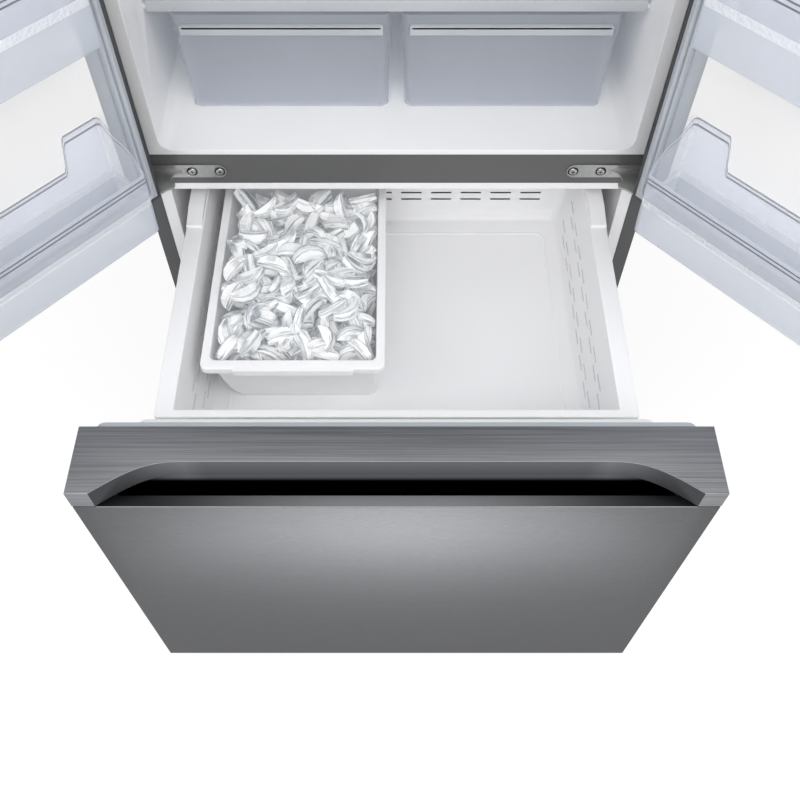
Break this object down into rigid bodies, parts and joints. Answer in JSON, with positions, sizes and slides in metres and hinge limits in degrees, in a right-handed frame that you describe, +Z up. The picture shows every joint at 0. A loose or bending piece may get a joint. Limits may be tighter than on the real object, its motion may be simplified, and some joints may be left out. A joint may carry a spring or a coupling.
{
  "type": "bottom freezer refrigerator",
  "caption": "Free-standing French-door refrigerator over a bottom freezer drawer, with the doors open and the drawer pulled out to show its bin and ice bucket.",
  "frame": {"origin": "on the floor, under the middle of the object's box with its doors open and its drawer pulled out", "axes": "+X to the right seen from the front, +Y towards the rear panel, +Z up"},
  "size_m": [1.5642, 1.393, 1.778],
  "materials": {
    "painted_side": "powder painted steel",
    "rail_paint": "painted steel rail",
    "galvanised": "galvanised sheet",
    "insulation": "polyurethane foam",
    "foamed_liner": "white ABS skin over foam",
    "white_liner": "white thermoformed ABS",
    "white_bin": "white moulded plastic",
    "clear_bin": "bluish translucent moulding",
    "dark_stainless": "fine brushed dark stainless",
    "cap_stainless": "brushed dark stainless cap",
    "zinc": "satin zinc plated steel",
    "gasket": "soft grey magnetic gasket",
    "shelf_glass": "tempered glass",
    "ice": "clear ice",
    "black_plastic": "black moulded plastic",
    "black_steel": "black enamelled steel",
    "aluminium_fins": "bare aluminium fins"
  },
  "bodies": {
    "cabinet": {"outer_wrapper": "painted_side", "rear_panel": "galvanised", "base_tray": "galvanised", "cabinet_foam": "insulation", "fresh_food_liner": "white_liner", "freezer_liner": "white_liner", "mullion_rail": "rail_paint", "lower_hinge_left": "zinc", "lower_hinge_right": "zinc", "top_hinge_left": "zinc", "top_hinge_right": "zinc", "top_hinge_cover_left": "painted_side", "top_hinge_cover_right": "painted_side", "toe_grille": "black_plastic", "machine_cover": "galvanised", "compressor": "black_steel", "condenser": "black_steel", "evaporator_cover": "white_bin", "evaporator": "aluminium_fins", "ice_maker": "white_bin", "crisper_cover": "shelf_glass", "shelf_lower": "shelf_glass", "shelf_upper": "shelf_glass", "slide_outer_left": "zinc", "slide_outer_right": "zinc", "leveling_foot_left": "black_plastic", "leveling_foot_right": "black_plastic", "hinge_screw_left_outer": "zinc", "hinge_screw_left_inner": "zinc", "hinge_screw_right_outer": "zinc", "hinge_screw_right_inner": "zinc"},
    "drawer": {"drawer_front_panel": "dark_stainless", "drawer_top_cap": "cap_stainless", "drawer_liner": "foamed_liner", "drawer_gasket": "gasket", "slide_inner_left": "zinc", "slide_inner_right": "zinc", "lower_bin": "white_bin", "upper_bin": "white_bin"},
    "middle_slides": {"slide_middle_left": "zinc", "slide_middle_right": "zinc"},
    "ice_bucket": {"ice_bucket": "white_bin", "ice_heap": "ice"},
    "left_door": {"left_door_skin": "dark_stainless", "left_door_liner": "foamed_liner", "left_door_gasket": "gasket", "left_door_bin_lower": "clear_bin", "left_door_bin_upper": "clear_bin"},
    "right_door": {"right_door_skin": "dark_stainless", "right_door_liner": "foamed_liner", "right_door_gasket": "gasket", "right_door_bin_lower": "clear_bin", "right_door_bin_upper": "clear_bin"},
    "mullion_flap": {"mullion_flap": "painted_side"},
    "crisper_left": {"crisper_left": "clear_bin"},
    "crisper_right": {"crisper_right": "clear_bin"},
    "rear_roller_left": {"rear_roller_left": "black_plastic"},
    "rear_roller_right": {"rear_roller_right": "black_plastic"},
    "condenser_fan": {"condenser_fan": "black_plastic"},
    "evaporator_fan": {"evaporator_fan": "black_plastic"}
  },
  "joints": [
    {"name": "drawer_slide", "type": "slide", "parent": "cabinet", "child": "drawer", "axis": [0, 1, 0], "range_m": [0, 0.513]},
    {"name": "middle_slide", "type": "slide", "parent": "cabinet", "child": "middle_slides", "axis": [0, 1, 0], "range_m": [0, 0.2565]},
    {"name": "ice_bucket_slide", "type": "slide", "parent": "drawer", "child": "ice_bucket", "axis": [0, 1, 0], "range_m": [-0.08, 0]},
    {"name": "left_door_hinge", "type": "hinge", "parent": "cabinet", "child": "left_door", "pos_m": [-0.4404, -0.1189, 0.764], "axis": [0, 0, 1], "range_deg": [0, 132.2]},
    {"name": "right_door_hinge", "type": "hinge", "parent": "cabinet", "child": "right_door", "pos_m": [0.4404, -0.1189, 0.764], "axis": [0, 0, -1], "range_deg": [0, 132.2]},
    {"name": "mullion_flap_hinge", "type": "hinge", "parent": "left_door", "child": "mullion_flap", "pos_m": [-0.6628, -0.44963, 1.25], "axis": [0, 0, -1], "range_deg": [0, 90]},
    {"name": "crisper_left_slide", "type": "slide", "parent": "cabinet", "child": "crisper_left", "axis": [0, 1, 0], "range_m": [-0.3, 0]},
    {"name": "crisper_right_slide", "type": "slide", "parent": "cabinet", "child": "crisper_right", "axis": [0, 1, 0], "range_m": [-0.3, 0]},
    {"name": "rear_roller_left_axle", "type": "hinge", "parent": "cabinet", "child": "rear_roller_left", "pos_m": [-0.4, 0.6345, 0.018], "axis": [1, 0, 0], "continuous": true},
    {"name": "rear_roller_right_axle", "type": "hinge", "parent": "cabinet", "child": "rear_roller_right", "pos_m": [0.4, 0.6345, 0.018], "axis": [1, 0, 0], "continuous": true},
    {"name": "condenser_fan_shaft", "type": "hinge", "parent": "cabinet", "child": "condenser_fan", "pos_m": [-0.215, 0.5795, 0.15], "axis": [1, 0, 0], "continuous": true},
    {"name": "evaporator_fan_shaft", "type": "hinge", "parent": "cabinet", "child": "evaporator_fan", "pos_m": [0, 0.6145, 0.65], "axis": [0, 1, 0], "continuous": true}
  ],
  "couplings": [
    {"joint": "middle_slide", "follows": "drawer_slide", "ratio": 0.5}
  ]
}
